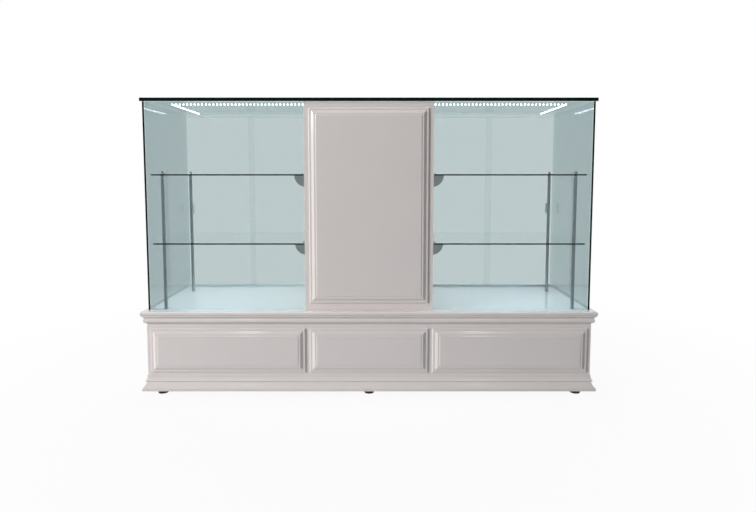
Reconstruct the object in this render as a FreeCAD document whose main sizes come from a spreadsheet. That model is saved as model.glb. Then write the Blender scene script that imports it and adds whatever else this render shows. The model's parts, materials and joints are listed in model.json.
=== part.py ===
import FreeCAD
import Part
import math
import os
import Sketcher

from FreeCAD import Placement, Rotation, Vector

# A shop display counter: a panelled lacquered base on levelling feet, a panelled centre
# pillar and a glass show case on each side of it. X runs along the counter, Y towards
# the shopkeeper and Z up. The origin is on the floor under the middle of the counter.

SIZES = (
    ("counter_width", 2000, "over the deck nose"),
    ("body_depth", 552, "base front face to rear face"),
    ("nose_overhang", 21, "deck nose beyond the base, and plinth foot too"),
    ("knob_projection", 23, "knob beyond the rear face"),
    ("board", 18, "lacquered boards"),
    ("foot_height", 30, "floor to the underside of the plinth"),
    ("plinth_height", 67, ""),
    ("body_height", 234, "plinth to bed moulding"),
    ("bed_height", 36, "bed moulding under the deck"),
    ("deck_thick", 18, ""),
    ("glass_height", 912, "deck to the underside of the top glass"),
    ("top_thick", 15, "top glass"),
    ("top_overhang", 12, "top glass beyond the front panes"),
    ("top_end_overhang", 7, "top glass beyond the side panes"),
    ("pane", 8, "front and side panes"),
    ("arris", 0.8, "ground edge of every glass sheet"),
    ("front_setback", 19, "front panes behind the base front"),
    ("side_setback", 2, "side panes inside the base ends"),
    ("nose_top_round", 7, ""),
    ("nose_under_round", 6, ""),
    ("bed_projection", 17, "top fillet of the bed moulding beyond the base"),
    ("bed_fillet", 5, ""),
    ("bed_toe", 3.5, "foot of the bead beyond the base"),
    ("bed_edge", 2, "square edge under the bead"),
    ("bed_bead", 8, "radius of the bead's foot"),
    ("bed_throat", 9, "where bead and cove meet, beyond the base"),
    ("bed_waist", 21, "where bead and cove meet, over the foot"),
    ("plinth_lip", 12, "upright edge at the plinth foot"),
    ("plinth_split", 38, "foot of the plinth's upper member"),
    ("plinth_throat", 5, "where both members meet"),
    ("plinth_bead", 5, "radius under the upper member"),
    ("plinth_cap", 3, "fillet at the top, both ways"),
    ("panel_edge", 1, "square edge of a raised panel"),
    ("panel_round", 4, "quarter round over the edge"),
    ("panel_flat", 7, "flat between the round and the bevel"),
    ("panel_slope", 12, "width of the bevel"),
    ("panel_slope_rise", 5.5, ""),
    ("panel_shoulder", 7, ""),
    ("panel_step", 3, "width of the last step up to the field"),
    ("panel_step_rise", 1.5, ""),
    ("panel_end_margin", 16, "panel to the end of the base"),
    ("panel_gap", 19, "between two base panels"),
    ("panel_top_margin", 23.5, "under the bed moulding"),
    ("panel_foot_margin", 13.5, "over the plinth"),
    ("pillar_width", 564, ""),
    ("pillar_margin", 21, "pillar edge to its raised panel"),
    ("pillar_panel_top", 27, "top glass to the raised panel"),
    ("pillar_panel_foot", 31, "deck to the raised panel"),
    ("header_height", 60, "fixed rail over the pillar door"),
    ("door_gap", 2, "round the pillar door"),
    ("shelf_thick", 6, ""),
    ("lower_shelf_rise", 289.5, "deck to the underside of the lower shelf"),
    ("upper_shelf_rise", 594, "deck to the underside of the upper shelf"),
    ("shelf_rear_gap", 56, "shelf to the rear face"),
    ("shelf_front_gap", 6, "shelf behind the front pane"),
    ("shelf_end_gap", 5, "shelf to the pillar"),
    ("shelf_outer_gap", 16, "shelf to the side pane"),
    ("post_end_inset", 45, "post from the shelf's outer end"),
    ("post_front_inset", 12, ""),
    ("post_rear_inset", 85, ""),
    ("post_radius", 7.5, ""),
    ("stud_radius", 3, "threaded stud through a shelf"),
    ("stud_play", 0.3, ""),
    ("post_flange_radius", 9.5, ""),
    ("post_flange_thick", 3, ""),
    ("cap_height", 14, "pointed nut over the upper shelf"),
    ("bracket_radius", 50, "quarter-round shelf clamp"),
    ("bracket_width", 18, ""),
    ("bracket_back", 4, "clamp's web on the pillar"),
    ("bracket_lip", 16, "clamp's jaw over the shelf"),
    ("bracket_lip_thick", 3, ""),
    ("bracket_front_inset", 46, "first clamp from the shelf's front edge"),
    ("bracket_rear_inset", 52, "second clamp from the shelf's back edge"),
    ("led_inset", 96, "light bar from the glass faces"),
    ("led_bar_width", 12, ""),
    ("led_bar_thick", 1.5, ""),
    ("led_pitch", 16.67, ""),
    ("led_radius", 3.5, "lens"),
    ("led_drop", 2, "lens under the bar"),
    ("led_wall_gap", 2, "light bar to the pillar"),
    ("led_rear_gap", 30, "light bar to the door track"),
    ("driver_length", 160, ""),
    ("driver_width", 42, ""),
    ("driver_height", 28, ""),
    ("lead_radius", 1.5, "low-voltage lead"),
    ("lead_bend", 10, ""),
    ("lead_drop", 8, "lead under the pillar's top board"),
    ("lead_offset", 8, "lead from the pillar face"),
    ("lead_play", 1, "lead in its hole"),
    ("door_glass", 5, "sliding glass doors"),
    ("door_play", 0.5, "door in its groove, each side"),
    ("door_overlap", 30, "two closed doors"),
    ("door_end_gap", 1, "closed door to its end"),
    ("slide_clear", 0.3, "door over the groove floor"),
    ("track_wall", 2, ""),
    ("track_rib", 4, "between the two grooves"),
    ("track_floor", 2, ""),
    ("track_low", 8, "height of a lower track"),
    ("track_high", 17, "height of an upper track"),
    ("track_inset", 3, "track from the rear face"),
    ("track_bite", 7, "door inside the upper track"),
    ("pull_length", 60, "finger recess of a glass door"),
    ("pull_width", 14, ""),
    ("pull_depth", 1.5, ""),
    ("pull_inset", 28, "finger recess from the door's edge"),
    ("pull_rise", 420, "finger recess over the deck"),
    ("panel_thick", 8, "sliding panels of the base"),
    ("cup_radius", 17, "finger cup of a base panel"),
    ("cup_depth", 3.5, ""),
    ("cup_inset", 45, "finger cup from the panel's edge"),
    ("hinge_height", 60, ""),
    ("hinge_inset", 110, "hinge from the door's end"),
    ("hinge_leaf", 1.5, ""),
    ("hinge_leaf_width", 13, ""),
    ("hinge_barrel", 4, "radius of the knuckle"),
    ("hinge_pin", 2, "radius of the pin"),
    ("hinge_play", 0.05, "pin in its bore"),
    ("hinge_standoff", 4.5, "pin behind the rear face"),
    ("hinge_washer", 0.4, "between the knuckles"),
    ("knob_radius", 14, ""),
    ("knob_neck", 6, ""),
    ("knob_foot", 9, ""),
    ("knob_inset", 34, "knob from the door's edge"),
    ("knob_rise", 470, "knob over the deck"),
    ("switch_inset", 74, "light switch from the pillar's inner face"),
    ("switch_width", 13, "mouth of the switch"),
    ("switch_height", 20, ""),
    ("switch_wall", 3, ""),
    ("switch_flange", 4, ""),
    ("switch_flange_thick", 2, ""),
    ("switch_depth", 12, "mouth behind the header's face"),
    ("rocker_play", 0.3, ""),
    ("rocker_tilt", 8, "degrees either way"),
    ("rocker_pin", 1.5, "radius"),
    ("rocker_pin_depth", 2, "pivot behind the header's face"),
    ("gland_bore", 3.6, "radius, for a supply cord"),
    ("gland_body", 8, "radius"),
    ("gland_nut", 12, "radius"),
    ("gland_nut_thick", 8, ""),
    ("gland_rise", 60, "gland over the base's bottom board"),
    ("wire_hole", 14, "radius, deck inside the pillar"),
    ("wire_hole_inset", 70, "from the rear face"),
    ("foot_radius", 22.5, ""),
    ("foot_rim", 6, ""),
    ("foot_thick", 10, ""),
    ("foot_stem", 5, "radius"),
    ("foot_play", 0.05, "stem in its socket"),
    ("foot_end_inset", 46, "foot from the base's end"),
    ("foot_face_inset", 49, "foot from the front and rear faces"),
    ("foot_top_gap", 2, "stem under the bottom board's face"),
    ("socket_radius", 13, ""),
    ("socket_flange", 20, "radius"),
    ("socket_flange_thick", 3, ""),
    ("socket_length", 25, ""),
    ("stem_hole_play", 1, "stem in the bottom board"),
    ("cut_margin", 1, "cutters beyond what they cut"),
)

doc = FreeCAD.newDocument("display_counter")
sheet = doc.addObject("Spreadsheet::Sheet", "sizes")


class Dim:
    """A length with its value and the sheet formula that gives it."""

    def __init__(self, value, formula):
        self.value = value
        self.formula = formula

    def __add__(self, other):
        other = dim(other)
        return Dim(self.value + other.value, f"({self.formula} + {other.formula})")

    def __sub__(self, other):
        other = dim(other)
        return Dim(self.value - other.value, f"({self.formula} - {other.formula})")

    def __mul__(self, other):
        other = dim(other)
        return Dim(self.value * other.value, f"({self.formula} * {other.formula})")

    def __truediv__(self, other):
        other = dim(other)
        return Dim(self.value / other.value, f"({self.formula} / {other.formula})")

    def __radd__(self, other):
        return dim(other) + self

    def __rsub__(self, other):
        return dim(other) - self

    def __rmul__(self, other):
        return dim(other) * self

    def __neg__(self):
        return dim(0) - self


def dim(number):
    """A plain number as a Dim; a Dim stays as it is."""
    if isinstance(number, Dim):
        return number
    return Dim(float(number), repr(float(number)))


def whole(length):
    """The whole number below a Dim."""
    return Dim(math.floor(length.value), f"floor({length.formula})")


def fill_sheet():
    """Writes the driving sizes into the sheet and returns them by name."""
    named = {}
    for row, (alias, number, note) in enumerate(SIZES, start=1):
        sheet.set(f"A{row}", alias)
        sheet.set(f"B{row}", str(number))
        sheet.set(f"C{row}", note)
        sheet.setAlias(f"B{row}", alias)
        named[alias] = Dim(float(number), f"sizes.{alias}")
    doc.recompute()
    return named


size = fill_sheet()

# Places along X, Y and Z that several pieces share
half_width = size["counter_width"] / 2
body_half = half_width - size["nose_overhang"]
bay_outer = body_half - size["board"]
glass_half = body_half - size["side_setback"]
pane_inner = glass_half - size["pane"]
pillar_half = size["pillar_width"] / 2
pillar_inner = pillar_half - size["board"]
switch_x = pillar_inner - size["switch_inset"]

lip_front = -(size["nose_overhang"] + size["body_depth"] + size["knob_projection"]) / 2
body_front = lip_front + size["nose_overhang"]
body_inner = body_front + size["board"]
rear = body_front + size["body_depth"]
rear_inner = rear - size["board"]
glass_front = body_front + size["front_setback"]
pane_back = glass_front + size["pane"]
pillar_back = glass_front + size["board"]

plinth_bottom = size["foot_height"]
plinth_top = plinth_bottom + size["plinth_height"]
bottom_under = plinth_top - size["board"]
bed_bottom = plinth_top + size["body_height"]
deck_bottom = bed_bottom + size["bed_height"]
deck_top = deck_bottom + size["deck_thick"]
case_top = deck_top + size["glass_height"]
glass_top = case_top + size["top_thick"]
header_bottom = case_top - size["header_height"]

shelf_inner = pillar_half + size["shelf_end_gap"]
shelf_outer = pane_inner - size["shelf_outer_gap"]
shelf_front = pane_back + size["shelf_front_gap"]
shelf_back = rear - size["shelf_rear_gap"]
shelf_levels = {
    "lower": deck_top + size["lower_shelf_rise"],
    "upper": deck_top + size["upper_shelf_rise"],
}
post_x = shelf_outer - size["post_end_inset"]
post_rows = {
    "front": shelf_front + size["post_front_inset"],
    "rear": shelf_back - size["post_rear_inset"],
}

SIDES = {"left": -1, "right": 1}
nodes = []


def bind(thing, prop, length):
    """Binds one property of a document object to the sheet."""
    thing.setExpression(prop, dim(length).formula)


def node(thing, label):
    """Names a finished piece and lists it for export."""
    thing.Label = label
    nodes.append(thing)
    return thing


def on_side(sign, low, high):
    """Limits on the right side of the counter, or their mirror on the left."""
    return (low, high) if sign > 0 else (-high, -low)


def place(thing, x=0, y=0, z=0):
    """Binds an object's position."""
    for axis, length in zip("xyz", (x, y, z)):
        bind(thing, f"Placement.Base.{axis}", length)


def box(name, x, y, z):
    """A square-edged block between three pairs of limits."""
    block = doc.addObject("Part::Box", name)
    for prop, (low, high) in zip(("Length", "Width", "Height"), (x, y, z)):
        bind(block, prop, dim(high) - low)
    place(block, x[0], y[0], z[0])
    return block


def rod(name, radius, start, length, axis="Z"):
    """A round bar or a drill from a start point along one axis."""
    turns = {"X": Rotation(Vector(0, 1, 0), 90), "Y": Rotation(Vector(1, 0, 0), -90)}
    bar = doc.addObject("Part::Cylinder", name)
    bind(bar, "Radius", radius)
    bind(bar, "Height", length)
    bar.Placement = Placement(Vector(), turns.get(axis, Rotation()))
    place(bar, *start)
    return bar


def group(name, pieces):
    """Separate solids that share one node."""
    bundle = doc.addObject("Part::Compound", name)
    bundle.Links = pieces
    return bundle


def joined(name, pieces):
    """One solid fused from several shapes."""
    whole_piece = doc.addObject("Part::MultiFuse", name)
    whole_piece.Shapes = pieces
    return whole_piece


def cut(name, base, tools):
    """A piece with its holes and recesses taken out."""
    result = doc.addObject("Part::Cut", name)
    result.Base = base
    result.Tool = tools[0] if len(tools) == 1 else group(f"{name}_cutters", tools)
    return result


def crossed(name, first, second):
    """What two prisms have in common, which mitres their profiles."""
    common = doc.addObject("Part::Common", name)
    common.Base = first
    common.Tool = second
    return common


def origin_part(body, role):
    """One of a body's own origin planes or axes."""
    return next(item for item in body.Origin.OriginFeatures if item.Role == role)


def arc(start, end, radius, turn):
    """A short arc from start to end that turns left (1) or right (-1), and its first end."""
    chord = end - start
    reach = math.sqrt(max(radius * radius - chord.Length * chord.Length / 4, 0))
    across = Vector(-chord.y, chord.x, 0).normalize()
    centre = (start + end) / 2 + across * reach * turn
    angles = [math.atan2(point.y - centre.y, point.x - centre.x) for point in (start, end)]
    if turn < 0:
        angles.reverse()
    circle = Part.Circle(centre, Vector(0, 0, 1), radius)
    return Part.ArcOfCircle(circle, angles[0], angles[1]), 1 if turn > 0 else 2


def hold(sketch, geometry, corner, kind, axis, length):
    """Fixes one coordinate of a sketch corner."""
    if not isinstance(length, Dim) and length == 0:
        sketch.addConstraint(Sketcher.Constraint("PointOnObject", geometry, corner, axis))
        return
    length = dim(length)
    rule = Sketcher.Constraint(kind, -1, 1, geometry, corner, length.value)
    index = sketch.addConstraint(rule)
    bind(sketch, f"Constraints[{index}]", length)


def outline(body, plane, points):
    """A closed sketch. A point with a radius and a turn starts an arc to the next point."""
    sketch = body.newObject("Sketcher::SketchObject", f"{body.Name}_outline")
    sketch.AttachmentSupport = [(origin_part(body, f"{plane}_Plane"), "")]
    sketch.MapMode = "FlatFace"
    corners = [Vector(dim(point[0]).value, dim(point[1]).value, 0) for point in points]
    ends = []
    for index, point in enumerate(points):
        start, finish = corners[index], corners[(index + 1) % len(points)]
        if len(point) == 2:
            geometry, first = Part.LineSegment(start, finish), 1
        else:
            geometry, first = arc(start, finish, dim(point[2]).value, point[3])
        ends.append((sketch.addGeometry(geometry, False), first))
    for index, point in enumerate(points):
        geometry, first = ends[index]
        following, following_first = ends[(index + 1) % len(points)]
        meet = Sketcher.Constraint("Coincident", geometry, 3 - first, following, following_first)
        sketch.addConstraint(meet)
        hold(sketch, geometry, first, "DistanceX", -2, point[0])
        hold(sketch, geometry, first, "DistanceY", -1, point[1])
        if len(point) > 2:
            radius = dim(point[2])
            rule = sketch.addConstraint(Sketcher.Constraint("Radius", geometry, radius.value))
            bind(sketch, f"Constraints[{rule}]", radius)
    return sketch


def prism(name, plane, points, start, length):
    """An outline drawn on a plane and padded along the third axis from start."""
    body = doc.addObject("PartDesign::Body", name)
    pad = body.newObject("PartDesign::Pad", f"{name}_pad")
    pad.Profile = outline(body, plane, points)
    pad.Reversed = plane == "XZ"
    bind(pad, "Length", length)
    third = {"XY": "z", "XZ": "y", "YZ": "x"}[plane]
    place(body, **{third: start})
    return body


def turned(name, points, x=0, y=0, z=0, axis="Z"):
    """A half outline in radius and height, turned about an upright or a lying axis."""
    body = doc.addObject("PartDesign::Body", name)
    sketch = outline(body, "XZ", points)
    turn = body.newObject("PartDesign::Revolution", f"{name}_turn")
    turn.Profile = sketch
    turn.ReferenceAxis = (sketch, ["V_Axis"])
    turn.Angle = 360
    if axis == "Y":
        body.Placement = Placement(Vector(), Rotation(Vector(1, 0, 0), -90))
    place(body, x, y, z)
    return body


def glass_sheet(name, x, y, z):
    """A glass sheet with its edges ground."""
    body = doc.addObject("PartDesign::Body", name)
    long, wide, high = [dim(limits[1]) - limits[0] for limits in (x, y, z)]
    pad = body.newObject("PartDesign::Pad", f"{name}_pad")
    pad.Profile = outline(body, "XY", [(0, 0), (long, 0), (long, wide), (0, wide)])
    bind(pad, "Length", high)
    doc.recompute()
    ground = body.newObject("PartDesign::Chamfer", f"{name}_arris")
    ground.Base = (pad, ["Edge1"])
    ground.UseAllEdges = True
    bind(ground, "Size", size["arris"])
    place(body, x[0], y[0], z[0])
    return body


def make_deck():
    """The deck board: nosed on three edges, square behind, with a wire hole in the pillar."""
    top, under, thick = size["nose_top_round"], size["nose_under_round"], size["deck_thick"]

    def nose(edge, inward):
        """The nose's corners from the top of the deck to its underside."""
        turn = inward
        return [
            (edge + inward * top, thick, top, turn),
            (edge, thick - top),
            (edge, under, under, turn),
            (edge + inward * under, 0),
        ]

    along = nose(lip_front, 1) + [(rear, 0), (rear, thick)]
    across = nose(-half_width, 1) + list(reversed([
        (half_width - top, thick),
        (half_width, thick - top, top, 1),
        (half_width, under),
        (half_width - under, 0, under, 1),
    ]))
    lengthwise = prism("deck_front_nose", "YZ", along, -half_width, half_width * 2)
    crosswise = prism("deck_end_noses", "XZ", across, lip_front, rear - lip_front)
    for layer in (lengthwise, crosswise):
        bind(layer, "Placement.Base.z", deck_bottom)
    slab = crossed("deck_slab", lengthwise, crosswise)
    margin = size["cut_margin"]
    start = (0, rear - size["wire_hole_inset"], deck_bottom - margin)
    hole = rod("deck_wire_hole", size["wire_hole"], start, thick + margin * 2)
    node(cut("deck", slab, [hole]), "deck_board")


def foot_places():
    """The six levelling feet by name, with their X and Y."""
    across = body_half - size["foot_end_inset"]
    columns = {"left": -across, "middle": dim(0), "right": across}
    rows = {
        "front": body_front + size["foot_face_inset"],
        "rear": rear - size["foot_face_inset"],
    }
    return {f"{row}_{column}": (x, y) for row, y in rows.items() for column, x in columns.items()}


def make_base_boards():
    """The base carcass: front, ends, dividers, bottom, middle back and rear plinth rail."""
    upright = (plinth_bottom, deck_bottom)
    behind = (body_inner, rear)
    front = box("front_board", (-body_half, body_half), (body_front, body_inner), upright)
    node(front, "base_front_board")
    for side, sign in SIDES.items():
        end = box(f"end_{side}", on_side(sign, bay_outer, body_half), behind, upright)
        node(end, f"base_end_{side}")
    inside = (plinth_top, deck_bottom)
    dividers = [
        box(f"divider_{side}", on_side(sign, pillar_inner, pillar_half), behind, inside)
        for side, sign in SIDES.items()
    ]
    node(group("dividers", dividers), "base_dividers")

    margin = size["cut_margin"]
    slab = box("bottom_slab", (-bay_outer, bay_outer), behind, (bottom_under, plinth_top))
    radius = size["foot_stem"] + size["stem_hole_play"]
    holes = [
        rod(f"stem_hole_{name}", radius, (x, y, bottom_under - margin), size["board"] + margin * 2)
        for name, (x, y) in foot_places().items()
    ]
    node(cut("bottom", slab, holes), "base_bottom_board")

    back = box("middle_back", (-pillar_inner, pillar_inner), (rear_inner, rear), inside)
    start = (0, rear_inner - margin, plinth_top + size["gland_rise"])
    hole = rod("gland_hole", size["gland_body"], start, size["board"] + margin * 2, "Y")
    node(cut("back", back, [hole]), "base_back_panel")
    rail = box("rear_rail", (-bay_outer, bay_outer), (rear_inner, rear), (plinth_bottom, bottom_under))
    node(rail, "plinth_back_rail")


def bed_profile():
    """Bed moulding: bead below, cove above, out from the base and up from its foot."""
    toe, edge, bead = size["bed_toe"], size["bed_edge"], size["bed_bead"]
    throat, waist = size["bed_throat"], size["bed_waist"]
    out, high = size["bed_projection"], size["bed_height"]
    cove_top = high - size["bed_fillet"]
    return [
        (0, 0), (toe, 0), (toe, edge, bead, 1), (toe + bead, edge + bead, waist - edge - bead + bead / 2, 1),
        (throat, waist, cove_top - waist, -1), (out, cove_top), (out, high), (0, high),
    ]


def plinth_profile():
    """Plinth: a flared foot and over it a second flare with a rounded underside."""
    out, high, lip = size["nose_overhang"], size["plinth_height"], size["plinth_lip"]
    split, throat, bead = size["plinth_split"], size["plinth_throat"], size["plinth_bead"]
    cap = size["plinth_cap"]
    return [
        (0, 0), (out, 0), (out, lip, split - lip + out, -1), (throat, split, bead, 1),
        (throat + bead, split + bead, high - split, -1), (cap, high - cap), (cap, high), (0, high),
    ]


def make_moulding(name, profile, out, low, high):
    """One moulding round the front and both ends of the base, mitred at the corners."""
    margin = size["cut_margin"]
    mitre_z = (low - margin, high - low + margin * 2)
    corner_x, corner_y = body_half + out, body_front - out

    def mitre(label, sign, spare):
        """A three-cornered cutter over one mitre, with its spare corner beside it."""
        points = [(sign * body_half, body_front), (sign * corner_x, corner_y), spare]
        return prism(label, "XY", points, *mitre_z)

    front_points = [(body_front - point[0], point[1], *flipped(point, -1)) for point in profile]
    front = prism(f"{name}_front_run", "YZ", front_points, -corner_x, corner_x * 2)
    bind(front, "Placement.Base.z", low)
    ends = [
        mitre(f"{name}_front_cut_{side}", sign, (sign * corner_x, body_front))
        for side, sign in SIDES.items()
    ]
    node(cut(f"{name}_front_piece", front, ends), f"{name}_front")
    returns = []
    for side, sign in SIDES.items():
        points = [
            (sign * (body_half + point[0]), point[1], *flipped(point, sign)) for point in profile
        ]
        run = prism(f"{name}_{side}_run", "XZ", points, corner_y, rear - corner_y)
        bind(run, "Placement.Base.z", low)
        end = mitre(f"{name}_cut_{side}", sign, (sign * body_half, corner_y))
        returns.append(cut(f"{name}_{side}_piece", run, [end]))
    node(group(f"{name}_end_pair", returns), f"{name}_ends")


def flipped(point, sign):
    """A point's arc, turned the other way where its outline is mirrored."""
    return () if len(point) == 2 else (point[2], sign * point[3])


def panel_outline(low, high, face):
    """A raised panel's section between two edges, rising from its face towards the front."""
    across = [(dim(0), size["panel_edge"])]
    steps = (
        (size["panel_round"], size["panel_round"]),
        (size["panel_flat"], dim(0)),
        (size["panel_slope"], size["panel_slope_rise"]),
        (size["panel_shoulder"], dim(0)),
        (size["panel_step"], size["panel_step_rise"]),
    )
    for width, rise in steps:
        across.append((across[-1][0] + width, across[-1][1] + rise))
    arcs = {0: (size["panel_round"], -1)}
    up_side, down_side = [], []
    for index, (width, rise) in enumerate(across):
        up_side.append((low + width, face + rise, *arcs.get(index, ())))
        down_side.append((high - width, face + rise, *arcs.get(index - 1, ())))
    return [(low, face)] + up_side + list(reversed(down_side)) + [(high, face)]


def raised_panel(name, x, z, face):
    """A raised panel whose bevels meet in mitres, its back on a front face."""
    upright = [(u, -v, *flipped((u, v, *bend), -1)) for u, v, *bend in panel_outline(*x, -face)]
    lying = [(-v, u, *bend) for u, v, *bend in panel_outline(*z, -face)]
    tall = prism(f"{name}_tall", "XY", upright, z[0], z[1] - z[0])
    wide = prism(f"{name}_wide", "YZ", lying, x[0], x[1] - x[0])
    node(crossed(f"{name}_piece", tall, wide), name)


def make_raised_panels():
    """Three raised panels on the base and one on the pillar."""
    middle = pillar_half - size["pillar_margin"]
    outer = (middle + size["panel_gap"], body_half - size["panel_end_margin"])
    z = (plinth_top + size["panel_foot_margin"], bed_bottom - size["panel_top_margin"])
    raised_panel("base_panel_left", on_side(-1, *outer), z, body_front)
    raised_panel("base_panel_middle", (-middle, middle), z, body_front)
    raised_panel("base_panel_right", on_side(1, *outer), z, body_front)
    z = (deck_top + size["pillar_panel_foot"], case_top - size["pillar_panel_top"])
    raised_panel("pillar_panel", (-middle, middle), z, glass_front)


def lead_height():
    """Height of the two low-voltage leads inside the pillar."""
    return case_top - size["board"] - size["lead_drop"]


def make_pillar():
    """Pillar boards: front, two sides with a lead hole each, top and rear header."""
    upright = (deck_top, case_top)
    wide, inside = (-pillar_half, pillar_half), (-pillar_inner, pillar_inner)
    node(box("pillar_face", wide, (glass_front, pillar_back), upright), "pillar_front_board")
    margin = size["cut_margin"]
    sides = []
    for side, sign in SIDES.items():
        limits = on_side(sign, pillar_inner, pillar_half)
        plate = box(f"pillar_plate_{side}", limits, (pillar_back, rear), upright)
        start = (limits[0] - margin, glass_front + size["led_inset"], lead_height())
        radius = size["lead_radius"] + size["lead_play"]
        hole = rod(f"lead_hole_{side}", radius, start, size["board"] + margin * 2, "X")
        sides.append(cut(f"pillar_side_{side}", plate, [hole]))
    node(group("pillar_side_pair", sides), "pillar_sides")
    lid = box("pillar_lid", inside, (pillar_back, rear_inner), (case_top - size["board"], case_top))
    node(lid, "pillar_top_board")
    rail = box("header_rail", inside, (rear_inner, rear), (header_bottom, case_top))
    window = box(
        "switch_window",
        switch_span("switch_width", size["switch_wall"]),
        (rear_inner - margin, rear + margin),
        switch_rise(size["switch_wall"]),
    )
    node(cut("header", rail, [window]), "pillar_header")


def make_glass_case():
    """The top glass, two front panes, two side panes and four drilled shelves."""
    over = glass_half + size["top_end_overhang"]
    depth = (glass_front - size["top_overhang"], rear)
    node(glass_sheet("top_sheet", (-over, over), depth, (case_top, glass_top)), "top_glass")
    upright = (deck_top, case_top)
    for side, sign in SIDES.items():
        x = on_side(sign, pillar_half, pane_inner)
        node(glass_sheet(f"front_{side}", x, (glass_front, pane_back), upright), f"front_glass_{side}")
    for side, sign in SIDES.items():
        x = on_side(sign, pane_inner, glass_half)
        node(glass_sheet(f"side_{side}", x, (glass_front, rear), upright), f"side_glass_{side}")
    for level, bottom in shelf_levels.items():
        pair = [make_shelf(level, side, sign, bottom) for side, sign in SIDES.items()]
        node(group(f"{level}_shelf_pair", pair), f"{level}_shelves")


def make_shelf(level, side, sign, bottom):
    """One glass shelf with a hole for each post's stud."""
    x = on_side(sign, shelf_inner, shelf_outer)
    z = (bottom, bottom + size["shelf_thick"])
    sheet_name = f"{level}_shelf_{side}"
    slab = glass_sheet(f"{sheet_name}_sheet", x, (shelf_front, shelf_back), z)
    radius = size["stud_radius"] + size["stud_play"]
    margin = size["cut_margin"]
    holes = [
        rod(f"{sheet_name}_{row}_hole", radius, (sign * post_x, y, bottom - margin),
            size["shelf_thick"] + margin * 2)
        for row, y in post_rows.items()
    ]
    return cut(sheet_name, slab, holes)


def make_posts():
    """Shelf posts: flanged lower rods, upper rods and pointed cap nuts."""
    radius, stud, shelf = size["post_radius"], size["stud_radius"], size["shelf_thick"]
    flange, thick = size["post_flange_radius"], size["post_flange_thick"]
    lower_top, upper_top = size["lower_shelf_rise"], size["upper_shelf_rise"]
    cap = size["cap_height"]
    lower = [
        (0, 0), (flange, 0), (flange, thick), (radius, thick), (radius, lower_top),
        (stud, lower_top), (stud, lower_top + shelf), (0, lower_top + shelf),
    ]
    length = upper_top - lower_top - shelf
    upper = [
        (0, 0), (radius, 0), (radius, length), (stud, length), (stud, length + shelf),
        (0, length + shelf),
    ]
    tip = radius / 6
    nut = [(0, 0), (radius, 0), (radius, cap / 3, cap, 1), (tip, cap), (0, cap)]
    stacks = {
        "post_lower_rods": (lower, deck_top),
        "post_upper_rods": (upper, shelf_levels["lower"] + shelf),
        "post_cap_nuts": (nut, shelf_levels["upper"] + shelf),
    }
    for label, (points, bottom) in stacks.items():
        pieces = [
            turned(f"{label}_{side}_{row}", points, sign * post_x, y, bottom)
            for side, sign in SIDES.items()
            for row, y in post_rows.items()
        ]
        node(group(f"{label}_set", pieces), label)


def make_brackets():
    """Quarter-round clamps that hold the shelves' inner ends on the pillar."""
    radius, back, lip = size["bracket_radius"], size["bracket_back"], size["bracket_lip"]
    jaw = size["shelf_thick"]
    top = jaw + size["bracket_lip_thick"]
    rows = {
        "front": shelf_front + size["bracket_front_inset"],
        "rear": shelf_back - size["bracket_rear_inset"],
    }
    clamps = []
    for side, sign in SIDES.items():
        reach = [(0, -radius, radius, 1), (radius, 0), (back, 0), (back, jaw), (lip, jaw), (lip, top), (0, top)]
        points = [(sign * (pillar_half + point[0]), point[1], *flipped(point, sign)) for point in reach]
        for level, bottom in shelf_levels.items():
            for row, y in rows.items():
                name = f"clamp_{side}_{level}_{row}"
                clamp = prism(name, "XZ", points, y - size["bracket_width"] / 2, size["bracket_width"])
                bind(clamp, "Placement.Base.z", bottom)
                clamps.append(clamp)
    node(group("clamps", clamps), "shelf_brackets")


def lens_row(name, x, y, count, axis, back):
    """A row of light lenses under a bar."""
    radius, drop = size["led_radius"], size["led_drop"]
    points = [(0, -drop), (radius / 2, -drop, drop, 1), (radius, -drop / 3), (radius, 0), (0, 0)]
    body = turned(name, points, x, y, case_top - size["led_bar_thick"])
    row = body.newObject("PartDesign::LinearPattern", f"{name}_row")
    row.Originals = [body.Group[1]]
    row.Direction = (origin_part(body, f"{axis}_Axis"), [""])
    row.Reversed = back
    bind(row, "Occurrences", count)
    bind(row, "Length", (count - 1) * size["led_pitch"])
    body.Tip = row
    return body


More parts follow.
